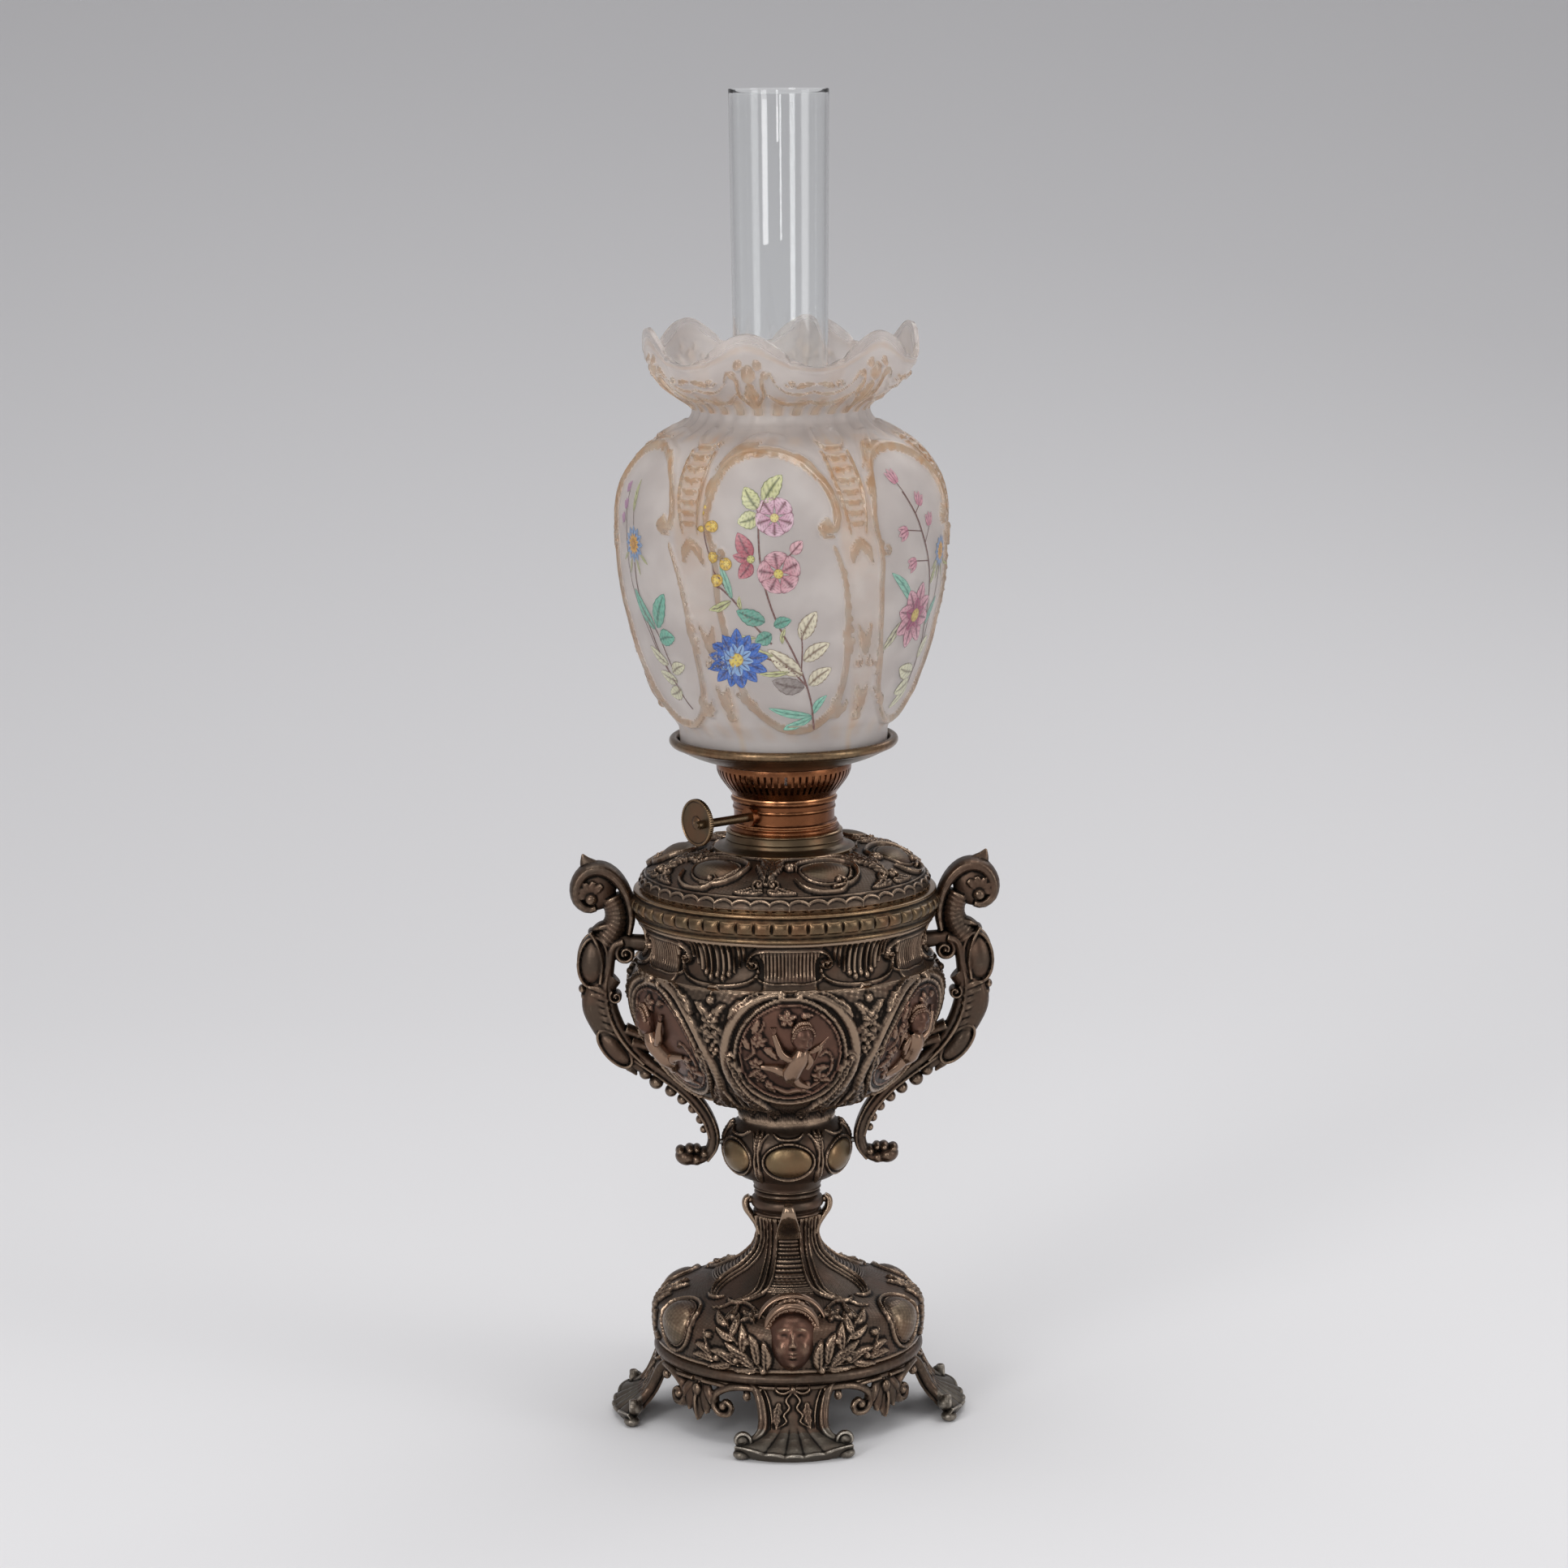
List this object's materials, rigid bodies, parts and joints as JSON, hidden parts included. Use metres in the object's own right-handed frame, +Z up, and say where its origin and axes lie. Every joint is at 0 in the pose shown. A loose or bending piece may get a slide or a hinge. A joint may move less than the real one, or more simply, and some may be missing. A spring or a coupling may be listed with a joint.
{
  "type": "oil lamp",
  "caption": "Oil lamp with a cast urn, scroll handles and shell feet, a drop-in font, a round-wick burner with a raising knob, a ruffled flower-painted shade and a tall chimney.",
  "frame": {"origin": "on the table, under the centre of the lamp's box, which is the lamp's axis", "axes": "+Z up along the lamp's axis, front towards -Y, one handle on each side along X"},
  "size_m": [0.2128, 0.178, 0.66],
  "materials": {
    "cast_bronze": "cast zinc alloy with a dark brown bronze patina, worn lighter on the ridges",
    "dark_brass": "aged brass with a dark patina",
    "copper_brass": "copper-toned brass, satin, slightly tarnished",
    "steel": "plain steel fasteners",
    "wick_cotton": "woven cotton",
    "shade_glass": "frosted glass with amber-stained relief and enamel flowers",
    "clear_glass": "clear polished glass"
  },
  "bodies": {
    "stand": {"base_casting": "cast_bronze", "foot_ring": "cast_bronze", "foot_front": "cast_bronze", "foot_back": "cast_bronze", "foot_left": "cast_bronze", "foot_right": "cast_bronze", "stem_collar": "cast_bronze", "stem_cup": "cast_bronze", "knop": "cast_bronze", "urn_body": "cast_bronze", "bead_ring": "dark_brass", "handle_left": "cast_bronze", "handle_right": "cast_bronze", "handle_screws": "steel", "tie_rod": "steel", "tie_washers": "steel", "tie_nuts": "steel"},
    "font": {"oil_font": "dark_brass", "dome_lid": "cast_bronze", "font_collar": "dark_brass"},
    "burner": {"burner_ring": "copper_brass", "burner_body": "copper_brass", "burner_basket": "copper_brass", "chimney_gallery": "copper_brass", "inner_wick_tube": "copper_brass", "outer_wick_tube": "copper_brass", "shaft_bushing": "copper_brass"},
    "wick_wheel": {"wick_shaft": "dark_brass", "wick_knob": "dark_brass", "wick_pinion": "copper_brass"},
    "wick_body": {"wick": "wick_cotton", "wick_carrier": "copper_brass"},
    "chimney_body": {"chimney": "clear_glass"},
    "shade_holder": {"shade_ring": "dark_brass"},
    "shade_body": {"shade": "shade_glass"}
  },
  "joints": [
    {"name": "font_lift", "type": "slide", "parent": "stand", "child": "font", "axis": [0, 0, 1], "range_m": [0, 0.1]},
    {"name": "burner_lift", "type": "slide", "parent": "font", "child": "burner", "axis": [0, 0, 1], "range_m": [0, 0.12]},
    {"name": "wick_turn", "type": "hinge", "parent": "burner", "child": "wick_wheel", "pos_m": [-0.01544, -0.01927, 0.30875], "axis": [0.7912, 0.6115, 0], "range_deg": [-127, 101]},
    {"name": "wick_feed", "type": "slide", "parent": "burner", "child": "wick_body", "axis": [0, 0, 1], "range_m": [-0.01, 0.008]},
    {"name": "chimney_lift", "type": "slide", "parent": "burner", "child": "chimney_body", "axis": [0, 0, 1], "range_m": [0, 0.24]},
    {"name": "shade_ring_lift", "type": "slide", "parent": "burner", "child": "shade_holder", "axis": [0, 0, 1], "range_m": [0, 0.34]},
    {"name": "shade_lift", "type": "slide", "parent": "shade_holder", "child": "shade_body", "axis": [0, 0, 1], "range_m": [0, 0.33]}
  ],
  "couplings": [
    {"joint": "wick_feed", "follows": "wick_turn", "m_per_rad": 0.0045}
  ]
}
